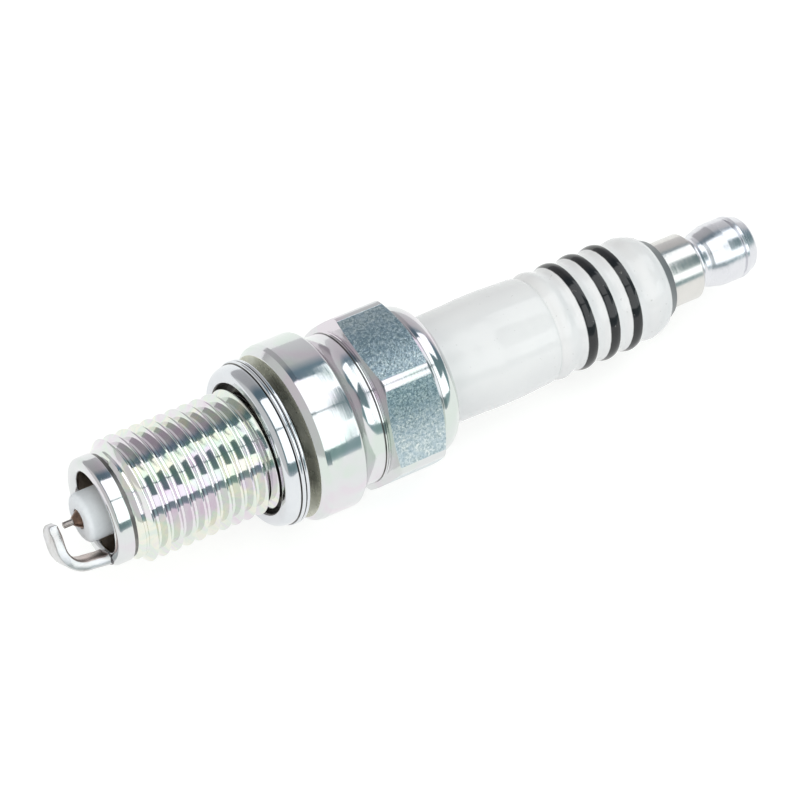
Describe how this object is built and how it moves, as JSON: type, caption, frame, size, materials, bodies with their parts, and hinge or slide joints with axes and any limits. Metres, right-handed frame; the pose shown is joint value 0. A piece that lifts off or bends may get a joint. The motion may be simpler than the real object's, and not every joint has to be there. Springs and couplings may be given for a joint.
{
  "type": "spark plug",
  "caption": "Spark plug with a threaded metal shell, hexagon and loose gasket, a white ribbed insulator, a fine-wire firing end and a screw-on terminal nut.",
  "frame": {"origin": "on the plug's axis, in the plane of the gasket seat, which is the end of the thread's reach", "axes": "+X along the plug's axis from the firing end to the terminal; two hexagon flats face +Z and -Z"},
  "size_m": [0.0766, 0.018, 0.0172],
  "materials": {
    "plated_shell": "bright plated steel with satin hexagon flats",
    "gasket_steel": "bright rolled steel",
    "strap_nickel": "warm grey nickel alloy",
    "electrode_nickel": "brownish nickel alloy",
    "copper": "copper",
    "iridium": "bright fine wire",
    "insulator_glaze": "white glaze with black ring bands; matte nose",
    "packing_steel": "plain steel wire",
    "talc": "pressed powder",
    "seal_glass": "dark conductive glass",
    "resistor_body": "dark compound",
    "stud_nickel": "warm nickel plate",
    "nut_metal": "bright turned metal"
  },
  "bodies": {
    "plug": {"metal_shell": "plated_shell", "ground_electrode": "strap_nickel", "insulator": "insulator_glaze", "centre_electrode": "electrode_nickel", "electrode_copper_core": "copper", "iridium_tip": "iridium", "seat_washer": "packing_steel", "front_packing_ring": "packing_steel", "talc_filler": "talc", "rear_packing_ring": "packing_steel", "lower_glass_seal": "seal_glass", "resistor": "resistor_body", "upper_glass_seal": "seal_glass", "terminal_stud": "stud_nickel"},
    "gasket": {"gasket": "gasket_steel"},
    "terminal_nut": {"terminal_nut": "nut_metal"}
  },
  "joints": [
    {"name": "gasket_float", "type": "slide", "parent": "plug", "child": "gasket", "axis": [-1, 0, 0], "range_m": [-0.00105, 0.00095]},
    {"name": "nut_off", "type": "slide", "parent": "plug", "child": "terminal_nut", "axis": [1, 0, 0], "range_m": [0, 0.008]}
  ]
}
